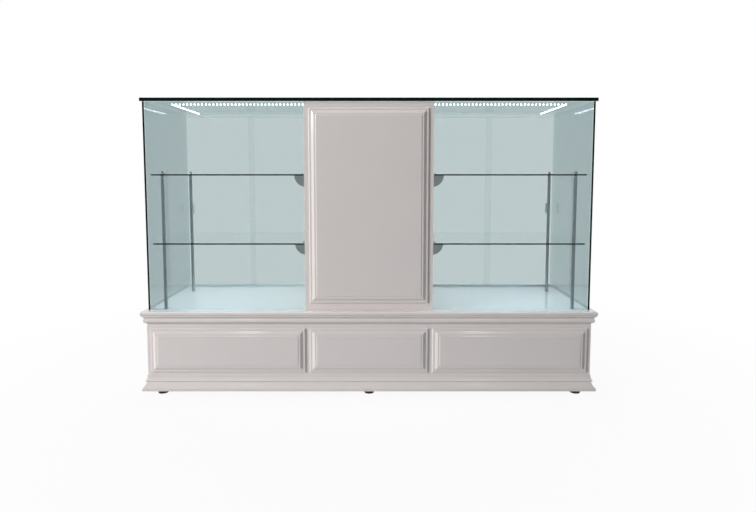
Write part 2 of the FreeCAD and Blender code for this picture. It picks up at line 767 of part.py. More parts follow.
def make_lights():
    """Light bars and lenses under the top glass, their driver and two low-voltage leads."""
    line_x, line_y = glass_half - size["led_inset"], glass_front + size["led_inset"]
    half_bar = size["led_bar_width"] / 2
    wall = pillar_half + size["led_wall_gap"]
    back_end = rear - size["track_inset"] - glass_track_width() - size["led_rear_gap"]
    z = (case_top - size["led_bar_thick"], case_top)
    pitch = size["led_pitch"]
    lead_x = pillar_half + size["lead_offset"] + size["lead_radius"]
    front_count = whole((line_x - lead_x - size["led_radius"] - size["lead_play"]) / pitch) + 1
    side_count = whole((back_end - line_y) / pitch - 0.5)
    side_end = line_y + pitch * (side_count + 0.5)
    bars, lenses = [], []
    for side, sign in SIDES.items():
        x = on_side(sign, wall, line_x + half_bar)
        bars.append(box(f"bar_front_{side}", x, (line_y - half_bar, line_y + half_bar), z))
        x = on_side(sign, line_x - half_bar, line_x + half_bar)
        bars.append(box(f"bar_side_{side}", x, (line_y + half_bar, side_end), z))
        lenses.append(lens_row(f"lens_front_{side}", sign * line_x, line_y, front_count, "X", sign > 0))
        first = line_y + pitch
        lenses.append(lens_row(f"lens_side_{side}", sign * line_x, first, side_count, "Y", False))
    node(group("bars", bars), "light_bars")
    node(group("lenses", lenses), "light_lenses")

    half_driver = size["driver_length"] / 2
    under = case_top - size["board"]
    y = (line_y - size["driver_width"] / 2, line_y + size["driver_width"] / 2)
    driver = box("driver", (-half_driver, half_driver), y, (under - size["driver_height"], under))
    node(driver, "light_driver")
    leads = [make_lead(side, sign, line_y, half_driver) for side, sign in SIDES.items()]
    node(group("leads", leads), "light_leads")


def make_lead(side, sign, y, half_driver):
    """A lead that drops from a bar, bends into the pillar and ends on the driver."""
    radius, bend = size["lead_radius"], size["lead_bend"]
    drop_x = pillar_half + size["lead_offset"]
    bar_under = case_top - size["led_bar_thick"]
    elbow_z = lead_height() + bend
    drop = rod(f"lead_drop_{side}", radius, (sign * drop_x, y, elbow_z), bar_under - elbow_z)
    run_x = on_side(sign, half_driver, drop_x - bend)
    run = rod(f"lead_run_{side}", radius, (run_x[0], y, lead_height()), run_x[1] - run_x[0], "X")
    elbow = doc.addObject("Part::Torus", f"lead_elbow_{side}")
    bind(elbow, "Radius1", bend)
    bind(elbow, "Radius2", radius)
    elbow.Angle3 = 90
    quarter = Rotation(Vector(1, 0, 0), 90)
    elbow.Placement = Placement(Vector(), Rotation(Vector(0, 1, 0), 90 if sign > 0 else 180) * quarter)
    place(elbow, sign * (drop_x - bend), y, elbow_z)
    return joined(f"lead_{side}", [drop, elbow, run])


def glass_track_width():
    """Width of a double track for the glass doors."""
    return track_width(size["door_glass"])


def track_width(sheet_thick):
    """Width of a double track for sheets of one thickness."""
    groove = sheet_thick + size["door_play"] * 2
    return size["track_wall"] * 2 + groove * 2 + size["track_rib"]


def track(name, x, z, sheet_thick, opens):
    """A double track, open upwards (1) or downwards (-1)."""
    groove = sheet_thick + size["door_play"] * 2
    wall, rib, floor = size["track_wall"], size["track_rib"], size["track_floor"]
    front = rear - size["track_inset"] - track_width(sheet_thick)
    back, face = (z[0], z[1]) if opens > 0 else (z[1], z[0])
    bed = back + opens * floor
    stops = [front + wall, front + wall + groove, front + wall + groove + rib]
    stops.append(stops[-1] + groove)
    points = [(front, back), (front, face)]
    for low, high in (stops[:2], stops[2:]):
        points += [(low, face), (low, bed), (high, bed), (high, face)]
    points += [(stops[-1] + wall, face), (stops[-1] + wall, back)]
    return prism(name, "YZ", points, x[0], x[1] - x[0])


def groove_front(sheet_thick, index):
    """Front face of a sheet in the front (0) or rear (1) groove of a double track."""
    groove = sheet_thick + size["door_play"] * 2
    first = rear - size["track_inset"] - track_width(sheet_thick) + size["track_wall"]
    return first + index * (groove + size["track_rib"]) + size["door_play"]


def slider_width(low, high):
    """Width of each of two doors that close an opening."""
    return (high - low - size["door_end_gap"] * 2 + size["door_overlap"]) / 2


def make_tracks():
    """Lower and upper double tracks of the two glass cases and the two base bays."""
    low, high = size["track_low"], size["track_high"]
    case_x = [on_side(sign, pillar_half, pane_inner) for sign in SIDES.values()]
    bay_x = [on_side(sign, pillar_half, bay_outer) for sign in SIDES.values()]
    glass, panel = size["door_glass"], size["panel_thick"]
    under = (deck_top, deck_top + low)
    over = (case_top - high, case_top)
    lower = [track(f"case_lower_{index}", x, under, glass, 1) for index, x in enumerate(case_x)]
    upper = [track(f"case_upper_{index}", x, over, glass, -1) for index, x in enumerate(case_x)]
    node(group("case_lower", lower), "glass_lower_tracks")
    node(group("case_upper", upper), "glass_upper_tracks")
    under = (plinth_top, plinth_top + low)
    over = (deck_bottom - high, deck_bottom)
    bay = [track(f"bay_lower_{index}", x, under, panel, 1) for index, x in enumerate(bay_x)]
    bay += [track(f"bay_upper_{index}", x, over, panel, -1) for index, x in enumerate(bay_x)]
    node(group("bay_tracks", bay), "panel_tracks")


def slider_limits(low, high, hand):
    """X limits of the left (0) or right (1) of two doors that close an opening."""
    width, gap = slider_width(low, high), size["door_end_gap"]
    return (low + gap, low + gap + width) if hand == 0 else (high - gap - width, high - gap)


def make_glass_doors():
    """Two sliding glass doors behind each case, with ground finger recesses."""
    lift = size["track_floor"] + size["slide_clear"]
    z = (deck_top + lift, case_top - size["track_high"] + size["track_bite"])
    thick, margin = size["door_glass"], size["cut_margin"]
    half_length, half_width_pull = size["pull_length"] / 2, size["pull_width"] / 2
    middle = deck_top + size["pull_rise"]
    straight = half_length - half_width_pull
    end_round = size["pull_width"] * 0.6
    for side, sign in SIDES.items():
        opening = on_side(sign, pillar_half, pane_inner)
        for hand, leaf in enumerate(("a", "b")):
            x = slider_limits(*opening, hand)
            front = groove_front(thick, hand)
            sheet_name = f"glass_door_{side}_{leaf}"
            slab = glass_sheet(f"{sheet_name}_sheet", x, (front, front + thick), z)
            pull_x = x[0] + size["pull_inset"] if hand == 0 else x[1] - size["pull_inset"]
            points = [
                (pull_x - half_width_pull, middle - straight, end_round, 1),
                (pull_x + half_width_pull, middle - straight),
                (pull_x + half_width_pull, middle + straight, end_round, 1),
                (pull_x - half_width_pull, middle + straight),
            ]
            start = front + thick - size["pull_depth"]
            recess = prism(f"{sheet_name}_pull", "XZ", points, start, size["pull_depth"] + margin)
            node(cut(f"{sheet_name}_leaf", slab, [recess]), sheet_name)


def make_base_panels():
    """Two sliding panels behind each outer bay of the base, with round finger cups."""
    lift = size["track_floor"] + size["slide_clear"]
    z = (plinth_top + lift, deck_bottom - size["track_high"] + size["track_bite"])
    thick, margin = size["panel_thick"], size["cut_margin"]
    middle = (z[0] + z[1]) / 2
    for side, sign in SIDES.items():
        opening = on_side(sign, pillar_half, bay_outer)
        for hand, leaf in enumerate(("a", "b")):
            x = slider_limits(*opening, hand)
            front = groove_front(thick, hand)
            name = f"base_slider_{side}_{leaf}"
            slab = box(f"{name}_board", x, (front, front + thick), z)
            cup_x = x[0] + size["cup_inset"] if hand == 0 else x[1] - size["cup_inset"]
            start = (cup_x, front + thick - size["cup_depth"], middle)
            cup = rod(f"{name}_cup", size["cup_radius"], start, size["cup_depth"] + margin, "Y")
            node(cut(f"{name}_leaf", slab, [cup]), name)


def door_rise():
    """Height limits of the pillar door."""
    return deck_top + size["door_gap"], header_bottom - size["door_gap"]


def make_pillar_door():
    """The pillar's rear door with its knob and two lift-off hinges."""
    edge = pillar_inner - size["door_gap"]
    z = door_rise()
    node(box("door_board", (-edge, edge), (rear_inner, rear), z), "pillar_door")
    out, radius, neck = size["knob_projection"], size["knob_radius"], size["knob_neck"]
    foot = size["knob_foot"]
    flare = radius - neck
    points = [
        (0, 0), (foot, 0), (foot, foot - neck), (neck, (foot - neck) * 2),
        (neck, out - flare * 1.5, flare, -1), (radius, out - flare / 2, flare, 1),
        (radius - flare / 2, out), (0, out),
    ]
    knob_x = edge - size["knob_inset"]
    node(turned("knob", points, knob_x, rear, deck_top + size["knob_rise"], "Y"), "door_knob")

    bottoms = (z[0] + size["hinge_inset"], z[1] - size["hinge_inset"] - size["hinge_height"])
    pin_x = -(pillar_inner - size["door_gap"] / 2)
    frame_leaves, door_leaves = [], []
    for index, bottom in enumerate(bottoms):
        frame_leaves.append(make_hinge_leaf(f"hinge_frame_{index}", pin_x, bottom, -1))
        door_leaves.append(make_hinge_leaf(f"hinge_door_{index}", pin_x, bottom, 1))
    node(group("frame_leaves", frame_leaves), "hinge_frame_leaves")
    node(group("door_leaves", door_leaves), "hinge_door_leaves")


def make_hinge_leaf(name, pin_x, bottom, sign):
    """One leaf: the frame's (-1) holds the pin, the door's (1) sits over it."""
    high, barrel, pin = size["hinge_height"], size["hinge_barrel"], size["hinge_pin"]
    half, pin_y = high / 2, rear + size["hinge_standoff"]
    inner = barrel + size["hinge_leaf"] / 2
    y = (rear, rear + size["hinge_leaf"])
    reach = (inner, inner + size["hinge_leaf_width"])
    x = (pin_x + reach[0], pin_x + reach[1]) if sign > 0 else (pin_x - reach[1], pin_x - reach[0])
    plate = box(f"{name}_plate", x, y, (bottom, bottom + high))
    own = (bottom + half + size["hinge_washer"], bottom + high) if sign > 0 else (bottom, bottom + half)
    web_x = (pin_x, pin_x + inner) if sign > 0 else (pin_x - inner, pin_x)
    web = box(f"{name}_web", web_x, (rear, pin_y), own)
    knuckle = rod(f"{name}_knuckle", barrel, (pin_x, pin_y, own[0]), own[1] - own[0])
    margin = size["cut_margin"]
    if sign < 0:
        stud = rod(f"{name}_pin", pin, (pin_x, pin_y, bottom), high - margin)
        return joined(name, [plate, web, knuckle, stud])
    solid = joined(f"{name}_solid", [plate, web, knuckle])
    radius = pin + size["hinge_play"]
    bore = rod(f"{name}_bore", radius, (pin_x, pin_y, own[0] - margin), half + margin * 2)
    return cut(name, solid, [bore])


def switch_span(width, extra):
    """X limits of the light switch, widened on each side."""
    half = size[width] / 2 + extra
    return switch_x - half, switch_x + half


def switch_rise(extra):
    """Z limits of the light switch, widened on each side."""
    middle = (header_bottom + case_top) / 2
    half = size["switch_height"] / 2 + extra
    return middle - half, middle + half


def make_switch():
    """The light switch in the header: its housing and its rocker."""
    wall, flange, margin = size["switch_wall"], size["switch_flange"], size["cut_margin"]
    face = rear + size["switch_flange_thick"]
    floor = rear - size["switch_depth"]
    middle = (header_bottom + case_top) / 2
    pivot_y = rear - size["rocker_pin_depth"]
    case = box("switch_case", switch_span("switch_width", wall), (floor - wall, rear), switch_rise(wall))
    rim = box(
        "switch_rim", switch_span("switch_width", wall + flange), (rear, face), switch_rise(wall + flange)
    )
    mouth = box("switch_mouth", switch_span("switch_width", 0), (floor, face + margin), switch_rise(0))
    play = size["rocker_play"]
    width = switch_span("switch_width", -play)
    seat = switch_span("switch_width", wall / 2)
    bore = rod(
        "rocker_bore", size["rocker_pin"] + size["hinge_play"], (seat[0], pivot_y, middle),
        seat[1] - seat[0], "X",
    )
    shell = joined("switch_shell", [case, rim])
    node(cut("switch", shell, [mouth, bore]), "switch_housing")

    high = size["switch_height"] / 2
    tall, low = high - wall / 3, high * 0.6
    outer, dip = size["switch_flange_thick"] + wall, size["switch_flange_thick"] + wall / 2
    heel = -(size["switch_depth"] / 3)
    points = [(heel, -low), (outer, -tall), (dip, 0), (outer, tall), (heel, low)]
    rocker = prism("rocker_body", "YZ", points, -size["switch_width"] / 2 + play, width[1] - width[0])
    stub = size["rocker_pin_depth"] / 2
    pin_start = -size["switch_width"] / 2 - stub
    pin = rod("rocker_pin_bar", size["rocker_pin"], (pin_start, 0, 0), size["switch_width"] + stub * 2, "X")
    tilted = joined("rocker", [rocker, pin])
    tilted.Placement = Placement(Vector(), Rotation(Vector(1, 0, 0), 1))
    bind(tilted, "Placement.Rotation.Angle", size["rocker_tilt"])
    place(tilted, switch_x, pivot_y, middle)
    node(tilted, "switch_rocker")


def make_gland():
    """The supply cord's gland in the base's middle back panel."""
    bore, body, nut = size["gland_bore"], size["gland_body"], size["gland_nut"]
    thick = size["gland_nut_thick"]
    through = size["board"]
    points = [
        (bore, -through - thick), (nut, -through - thick), (nut, -through), (body, -through), (body, 0),
        (nut, 0), (nut, thick), (body, thick * 2), (bore, thick * 2),
    ]
    gland = turned("gland", points, 0, rear, plinth_top + size["gland_rise"], "Y")
    node(gland, "cord_gland")


def make_feet():
    """Six levelling feet, each one piece, and the sockets that they screw into."""
    radius, rim, thick = size["foot_radius"], size["foot_rim"], size["foot_thick"]
    stem = size["foot_stem"]
    top = plinth_top - size["foot_top_gap"]
    foot = [
        (0, 0), (radius, 0), (radius, rim), (stem * 2, thick), (stem, thick), (stem, top), (0, top)
    ]
    outer, flange = size["socket_radius"], size["socket_flange"]
    length, collar = size["socket_length"], size["socket_flange_thick"]
    bore = stem + size["foot_play"]
    socket = [
        (bore, 0), (outer, 0), (outer, length - collar), (flange, length - collar), (flange, length),
        (bore, length),
    ]
    sockets = []
    for name, (x, y) in foot_places().items():
        node(turned(f"leveller_{name}", foot, x, y, 0), f"foot_{name}")
        sockets.append(turned(f"socket_{name}", socket, x, y, bottom_under - length))
    node(group("sockets", sockets), "foot_sockets")


def check_and_export():
    """Stops on any failed object or bad shape, then writes one file per node."""
    doc.recompute()
    bad = [item.Name for item in doc.Objects if {"Invalid", "Error"} & set(item.State)]
    bad += [item.Label for item in nodes if item.Shape.isNull() or not item.Shape.isValid()]
    if bad:
        raise RuntimeError(f"failed pieces: {bad}")
    os.makedirs("parts", exist_ok=True)
    for item in nodes:
        item.Shape.exportStep(f"parts/{item.Label}.step")
        print(item.Label, len(item.Shape.Solids), round(item.Shape.Volume / 1000, 1), "cm3")
    print(len(nodes), "nodes")


make_deck()
make_base_boards()
make_moulding("bed_moulding", bed_profile(), size["bed_projection"], bed_bottom, deck_bottom)
make_moulding("plinth_moulding", plinth_profile(), size["nose_overhang"], plinth_bottom, plinth_top)
make_raised_panels()
make_pillar()
make_glass_case()
make_posts()
make_brackets()
make_lights()
make_tracks()
make_glass_doors()
make_base_panels()
make_pillar_door()
make_switch()
make_gland()
make_feet()
check_and_export()
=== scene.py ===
import bmesh
import bpy
import json
import math
from mathutils import Matrix, Vector


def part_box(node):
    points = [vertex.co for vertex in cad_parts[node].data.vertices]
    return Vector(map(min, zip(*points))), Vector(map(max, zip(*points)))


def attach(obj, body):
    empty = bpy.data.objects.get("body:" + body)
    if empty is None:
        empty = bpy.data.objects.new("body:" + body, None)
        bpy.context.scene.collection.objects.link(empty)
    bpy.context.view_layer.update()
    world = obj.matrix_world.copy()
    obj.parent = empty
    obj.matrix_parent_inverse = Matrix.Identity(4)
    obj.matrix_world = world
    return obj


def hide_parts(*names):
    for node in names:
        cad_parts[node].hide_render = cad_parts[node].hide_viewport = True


# The display counter's looks: lacquer, glass, chrome, light rows and the studio round it.

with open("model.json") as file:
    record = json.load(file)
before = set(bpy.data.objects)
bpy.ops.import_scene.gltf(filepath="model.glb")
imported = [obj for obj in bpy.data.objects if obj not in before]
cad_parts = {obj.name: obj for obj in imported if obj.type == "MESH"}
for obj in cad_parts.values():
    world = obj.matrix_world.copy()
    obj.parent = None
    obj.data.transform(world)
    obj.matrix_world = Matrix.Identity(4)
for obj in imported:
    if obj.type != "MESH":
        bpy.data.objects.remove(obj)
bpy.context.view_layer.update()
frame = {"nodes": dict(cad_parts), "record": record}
nodes = frame["nodes"]
scene = bpy.context.scene
scene.view_settings.view_transform = "Standard"
scene.cycles.transparent_max_bounces = 32
SIDES = (-1, 1)

# Points nearer to each other than this, in metres, are taken as one.
SAME_POINT = 0.00002


def millimetres(*lengths):
    """Lengths in millimetres as a vector in metres."""
    return Vector(length / 1000 for length in lengths)


# Materials

# The noise values between which a finish changes, its least and most roughness, and its grain in metres.
CLOUD_LOW, CLOUD_HIGH = 0.3, 0.7
GLOSSIEST, DULLEST = 0.85, 1.2
GRAIN_HEIGHT = 0.0004

# How much glass bends light, the mirrored share that is too faint to show, and the mirrored shares of a
# steep and a grazing look.
GLASS_BEND = 1.5
TOO_FAINT = 0.035
STEEP, GRAZING = 0.08, 0.4


def new_material(name):
    """An empty material with its node tree and output."""
    material = bpy.data.materials.new(name)
    material.use_nodes = True
    tree = material.node_tree
    tree.nodes.clear()
    output = tree.nodes.new("ShaderNodeOutputMaterial")
    return material, tree, output


def add(tree, kind, **values):
    """A node with some of its inputs set by name."""
    item = tree.nodes.new(kind)
    for name, value in values.items():
        item.inputs[name.replace("_", " ")].default_value = value
    return item


def noise_at(tree, scale, detail=3.0):
    """A noise on the piece's own coordinates."""
    place = tree.nodes.new("ShaderNodeTexCoord")
    noise = add(tree, "ShaderNodeTexNoise", Scale=scale, Detail=detail)
    tree.links.new(place.outputs["Object"], noise.inputs["Vector"])
    return noise


def ramp(tree, source, low, high, first, last):
    """A colour that runs from the first to the last as the source goes from low to high."""
    band = tree.nodes.new("ShaderNodeValToRGB")
    band.color_ramp.elements[0].position = low
    band.color_ramp.elements[1].position = high
    band.color_ramp.elements[0].color = (*first, 1)
    band.color_ramp.elements[1].color = (*last, 1)
    tree.links.new(source, band.inputs["Fac"])
    return band


def bump(tree, source, strength, distance):
    """A bump from a height."""
    lift = add(tree, "ShaderNodeBump", Strength=strength, Distance=distance)
    tree.links.new(source, lift.inputs["Height"])
    return lift


def surface(
    name, colour, roughness, metallic=0.0, scale=40.0, spread=0.04, grain=0.0, grain_scale=900.0, **more
):
    """A solid finish whose colour and gloss vary a little, with an optional fine grain."""
    material, tree, output = new_material(name)
    skin = add(tree, "ShaderNodeBsdfPrincipled", Metallic=metallic, **more)
    cloud = noise_at(tree, scale)
    dark = [channel * (1 - spread) for channel in colour]
    tone = ramp(tree, cloud.outputs["Fac"], CLOUD_LOW, CLOUD_HIGH, dark, colour)
    tree.links.new(tone.outputs["Color"], skin.inputs["Base Color"])
    gloss = add(tree, "ShaderNodeMapRange", To_Min=roughness * GLOSSIEST, To_Max=roughness * DULLEST)
    tree.links.new(cloud.outputs["Fac"], gloss.inputs["Value"])
    tree.links.new(gloss.outputs["Result"], skin.inputs["Roughness"])
    if grain:
        fine = noise_at(tree, grain_scale, 2.0)
        lift = bump(tree, fine.outputs["Fac"], grain, GRAIN_HEIGHT)
        tree.links.new(lift.outputs["Normal"], skin.inputs["Normal"])
    tree.links.new(skin.outputs["BSDF"], output.inputs["Surface"])
    return material


def mixed(tree, factor, first, second):
    """Two shaders mixed by a factor."""
    mix = tree.nodes.new("ShaderNodeMixShader")
    tree.links.new(factor, mix.inputs["Fac"])
    tree.links.new(first, mix.inputs[1])
    tree.links.new(second, mix.inputs[2])
    return mix.outputs["Shader"]


def pane_material(name, tint, second_face=False, steep_tint=None):
    """Clear sheet glass: a tint, which may be paler where it is looked through steeply, and a
    reflection on its outer or both faces."""
    material, tree, output = new_material(name)
    clear = add(tree, "ShaderNodeBsdfTransparent", Color=(*tint, 1))
    mirror = add(tree, "ShaderNodeBsdfGlossy", Color=(1, 1, 1, 1), Roughness=0.0)
    side = tree.nodes.new("ShaderNodeNewGeometry")
    slant = tree.nodes.new("ShaderNodeFresnel")
    bend = add(tree, "ShaderNodeMapRange", To_Min=GLASS_BEND, To_Max=1 / GLASS_BEND)
    sheen = add(tree, "ShaderNodeMapRange", From_Min=TOO_FAINT)
    tree.links.new(side.outputs["Backfacing"], bend.inputs["Value"])
    tree.links.new(bend.outputs["Result"], slant.inputs["IOR"])
    tree.links.new(slant.outputs["Fac"], sheen.inputs["Value"])
    if steep_tint:
        tone = ramp(tree, slant.outputs["Fac"], STEEP, GRAZING, steep_tint, tint)
        tree.links.new(tone.outputs["Color"], clear.inputs["Color"])
    if not second_face:
        outside = add(tree, "ShaderNodeMapRange", From_Min=1.0, From_Max=0.0)
        tree.links.new(side.outputs["Backfacing"], outside.inputs["Value"])
        tree.links.new(outside.outputs["Result"], sheen.inputs["To Max"])
    both = mixed(tree, sheen.outputs["Result"], clear.outputs["BSDF"], mirror.outputs["BSDF"])
    tree.links.new(both, output.inputs["Surface"])
    return material


def clear_from_inside(material, tint):
    """Lets what is behind a glass edge show where the edge is seen through the sheet."""
    tree = material.node_tree
    output = tree.nodes["Material Output"].inputs["Surface"]
    outside = output.links[0].from_socket
    inside = add(tree, "ShaderNodeBsdfTransparent", Color=(*tint, 1))
    side = tree.nodes.new("ShaderNodeNewGeometry")
    tree.links.new(mixed(tree, side.outputs["Backfacing"], outside, inside.outputs["BSDF"]), output)


def glow(name, colour, strength):
    """A lit lens."""
    material, tree, output = new_material(name)
    light = add(tree, "ShaderNodeEmission", Color=(*colour, 1), Strength=strength)
    tree.links.new(light.outputs["Emission"], output.inputs["Surface"])
    return material


lacquer = surface(
    "white_lacquer", (0.80, 0.738, 0.722), 0.16, scale=6.0, spread=0.02, grain=0.05, grain_scale=260.0,
    Coat_Weight=0.4, Coat_Roughness=0.05,
)
thick_pane = pane_material("thick_pane", (0.736, 0.785, 0.79))
top_pane = pane_material("top_pane", (0.77, 0.825, 0.83), steep_tint=(0.92, 0.945, 0.945))
end_pane = pane_material("end_pane", (0.785, 0.825, 0.83), second_face=True)
thin_pane = pane_material("thin_pane", (0.94, 0.957, 0.957))
door_pane = pane_material("door_pane", (0.965, 0.975, 0.975))
edge_glass = surface(
    "polished_edge", (0.004, 0.012, 0.011), 0.12, scale=30.0, spread=0.3, Specular_IOR_Level=0.03
)
clear_from_inside(edge_glass, (0.9, 0.94, 0.93))
bedded_edge = pane_material("bedded_edge", (0.86, 0.93, 0.91))
arris = surface("ground_arris", (0.03, 0.05, 0.047), 0.45, grain=0.2, grain_scale=2500.0)
frosted = surface("ground_recess", (0.62, 0.7, 0.69), 0.5, grain=0.4, grain_scale=2500.0)
chrome = surface("chrome_plate", (0.42, 0.43, 0.44), 0.2, metallic=1.0, scale=90.0)
satin = surface("satin_metal", (0.56, 0.52, 0.5), 0.34, metallic=1.0, scale=70.0, grain=0.15)
anodised = surface("anodised_track", (0.66, 0.67, 0.68), 0.36, metallic=1.0, scale=50.0, grain=0.1)
black_plastic = surface("black_plastic", (0.018, 0.018, 0.019), 0.42, grain=0.3, spread=0.2)
foot_plastic = surface("foot_plastic", (0.012, 0.012, 0.013), 0.38, grain=0.3, spread=0.2)
clear_plastic = pane_material("clear_plastic", (0.985, 0.99, 0.99))
track_plastic = surface("track_plastic", (0.86, 0.9, 0.9), 0.22, grain=0.1, Alpha=0.5)
pale_plastic = surface("driver_plastic", (0.74, 0.74, 0.72), 0.45, grain=0.3)
zinc = surface("zinc_plate", (0.55, 0.55, 0.53), 0.38, metallic=1.0, scale=120.0, spread=0.15)
lit_lens = glow("lit_lens", (0.94, 0.98, 1.0), 12.0)

FINISHES = {
    "white_lacquer": lacquer,
    "chrome": chrome,
    "satin_metal": satin,
    "anodised_track": anodised,
    "clear_track": track_plastic,
    "light_lens": lit_lens,
    "black_plastic": black_plastic,
    "driver_case": pale_plastic,
    "lead_sheath": pale_plastic,
    "foot_black": foot_plastic,
    "socket_steel": zinc,
}


# Edges

# Degrees past which an edge stays sharp, on most pieces and on the raised panels; widths in millimetres.
CURVED, PANELLED = 38, 13
EDGE_WIDTHS = {
    "white_lacquer": 0.9,
    "satin_metal": 0.4,
    "anodised_track": 0.25,
    "black_plastic": 0.3,
    "driver_case": 1.0,
    "foot_black": 0.8,
}
PANEL_EDGE = 0.5


def smooth_group(name, degrees):
    """A node group that shades smooth, with edges sharper than an angle kept sharp."""
    group = bpy.data.node_groups.new(name, "GeometryNodeTree")
    group.interface.new_socket("Geometry", in_out="INPUT", socket_type="NodeSocketGeometry")
    group.interface.new_socket("Geometry", in_out="OUTPUT", socket_type="NodeSocketGeometry")
    start = group.nodes.new("NodeGroupInput")
    end = group.nodes.new("NodeGroupOutput")
    faces = group.nodes.new("GeometryNodeSetShadeSmooth")
    edges = group.nodes.new("GeometryNodeSetShadeSmooth")
    edges.domain = "EDGE"
    edges.inputs["Shade Smooth"].default_value = False
    angle = group.nodes.new("GeometryNodeInputMeshEdgeAngle")
    sharp = group.nodes.new("FunctionNodeCompare")
    sharp.operation = "GREATER_THAN"
    sharp.inputs["B"].default_value = math.radians(degrees)
    group.links.new(start.outputs[0], faces.inputs["Geometry"])
    group.links.new(faces.outputs["Geometry"], edges.inputs["Geometry"])
    group.links.new(angle.outputs["Unsigned Angle"], sharp.inputs["A"])
    group.links.new(sharp.outputs["Result"], edges.inputs["Selection"])
    group.links.new(edges.outputs["Geometry"], end.inputs[0])
    return group


smoothing = {
    CURVED: smooth_group("smooth_curves", CURVED),
    PANELLED: smooth_group("crisp_bevels", PANELLED),
}


def soften(piece, width, angle=CURVED):
    """Rounds a piece's sharp edges by a width in millimetres and shades its curves smooth."""
    piece.modifiers.new("weld", "WELD").merge_threshold = SAME_POINT
    if width:
        edges = piece.modifiers.new("edges", "BEVEL")
        edges.width = width / 1000
        edges.segments = 2
        edges.limit_method = "ANGLE"
        edges.angle_limit = math.radians(angle)
    piece.modifiers.new("smooth", "NODES").node_group = smoothing[angle]
    piece.modifiers.new("normals", "WEIGHTED_NORMAL").keep_sharp = True


slot_of = {part["node"]: part["material_slot"] for part in frame["record"]["subparts"]}
for node_name, piece in nodes.items():
    slot = slot_of[node_name]
    if slot == "clear_glass":
        continue
    piece.data.materials.clear()
    piece.data.materials.append(clear_plastic if node_name == "glass_upper_tracks" else FINISHES[slot])
    if "_panel" in node_name and slot == "white_lacquer":
        soften(piece, PANEL_EDGE, PANELLED)
    else:
        soften(piece, EDGE_WIDTHS.get(slot, 0))


# Glass

# The arris in millimetres and degrees, each sheet's glass, and the axis that runs through each sheet.
ARRIS = 0.6
ARRIS_ANGLE = 60
PANES = {
    "top_glass": top_pane,
    "front_glass": thick_pane,
    "side_glass": end_pane,
    "lower_shelves": thin_pane,
    "upper_shelves": thin_pane,
    "glass_door": door_pane,
}
GLASS_AXES = {
    "top_glass": 2,
    "lower_shelves": 2,
    "upper_shelves": 2,
    "side_glass_left": 0,
    "side_glass_right": 0,
}
DEPTH_AXIS = 1

# The finishes' places on a sheet, how near in metres a face lies to the sheet's outside, and its facing.
CLEAR, OPEN_EDGE, RECESS, BEDDED, GROUND = range(5)
AT_FACE = 0.0002
FLAT, TO_FRONT = 0.95, -0.3


def body_of(node_name):
    """The moving body, or the cabinet, that a node belongs to."""
    bodies = frame["record"]["behaviour"]["bodies"]
    return next(body for body, members in bodies.items() if node_name in members)


def new_piece(name, mesh, body, slot, *materials):
    """A new object for a mesh that is already in place, riding on a body."""
    data = bpy.data.meshes.new(name)
    mesh.to_mesh(data)
    mesh.free()
    piece = bpy.data.objects.new(name, data)
    scene.collection.objects.link(piece)
    for material in materials:
        data.materials.append(material)
    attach(piece, body)
    return piece


def glass_piece(node_name, axis):
    """A sheet of glass in the CAD sheet's place: clear faces, ground recesses, dark open edges, pale
    bedded ones and a small arris along each edge."""
    low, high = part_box(node_name)
    mesh = bmesh.new()
    mesh.from_mesh(nodes[node_name].data)
    bmesh.ops.remove_doubles(mesh, verts=mesh.verts, dist=SAME_POINT)
    for face in mesh.faces:
        centre = face.calc_center_median()[axis]
        outer = min(centre - low[axis], high[axis] - centre) < AT_FACE
        shows = node_name == "top_glass" or axis != DEPTH_AXIS and face.normal.y < TO_FRONT
        if abs(face.normal[axis]) > FLAT:
            face.material_index = CLEAR if outer else RECESS
        else:
            face.material_index = OPEN_EDGE if shows else BEDDED
        face.smooth = False
    clear = next(pane for start, pane in PANES.items() if node_name.startswith(start))
    body = body_of(node_name)
    finishes = (clear, edge_glass, frosted, bedded_edge, arris)
    piece = new_piece(f"{node_name}_sheet", mesh, body, "clear_glass", *finishes)
    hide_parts(node_name)
    ground = piece.modifiers.new("arris", "BEVEL")
    ground.width = ARRIS / 1000
    ground.segments = 1
    ground.limit_method = "ANGLE"
    ground.angle_limit = math.radians(ARRIS_ANGLE)
    ground.material = GROUND


for node_name, slot in slot_of.items():
    if slot == "clear_glass":
        glass_piece(node_name, GLASS_AXES.get(node_name, DEPTH_AXIS))


# Fittings

# Outlines and sizes in millimetres, apart from the distance in metres at which spun points are joined.
TO_REAR = Vector((0, 1, 0))
SPUN_POINT = 0.000005
SCREW_HEAD = ((0, -0.2), (2.7, -0.2), (2.7, 0.2), (2.3, 0.6), (0, 0.75))
# Spans of the two dark bars on a screw head: painted shade standing in for the cross slot's recess.
SLOT_SHADE_BARS = ((2.8, 0.5, 0.5), (0.5, 2.8, 0.5))
SLOT_RISE = 0.52
SCREW_RISE = 20
LEAF_THICK, LEAF_MIDDLE = 1.5, 11.25
CUP_INSET = 45
CUP_LINER = (
    (0, -3.4), (16.9, -3.4), (16.9, -0.1), (15.6, -0.1),
    (15.1, -0.6), (15.1, -2.0), (14.2, -2.8), (0, -2.8),
)
ON_BAR = (0.9, 3.8, 0.16)
OFF_RING = ((1.4, -0.08), (2.1, -0.08), (2.1, 0.08), (1.4, 0.08), (1.4, -0.08))
ROCKER_FACE = 0.9
LID_MARGIN, LID_THICK, LID_EDGE, LID_SCREW = 3, 1.4, 0.5, 12
# Each vent is a dark bar on the lid: painted shade standing in for the opening.
VENT_SHADE_BAR, VENT_PITCH, VENTS = (1.6, 13, 0.4), 5, 12


def joint_place(name):
    """The pivot of a joint."""
    joints = frame["record"]["behaviour"]["joints"]
    return Vector(next(joint for joint in joints if joint["name"] == name)["pos_m"])


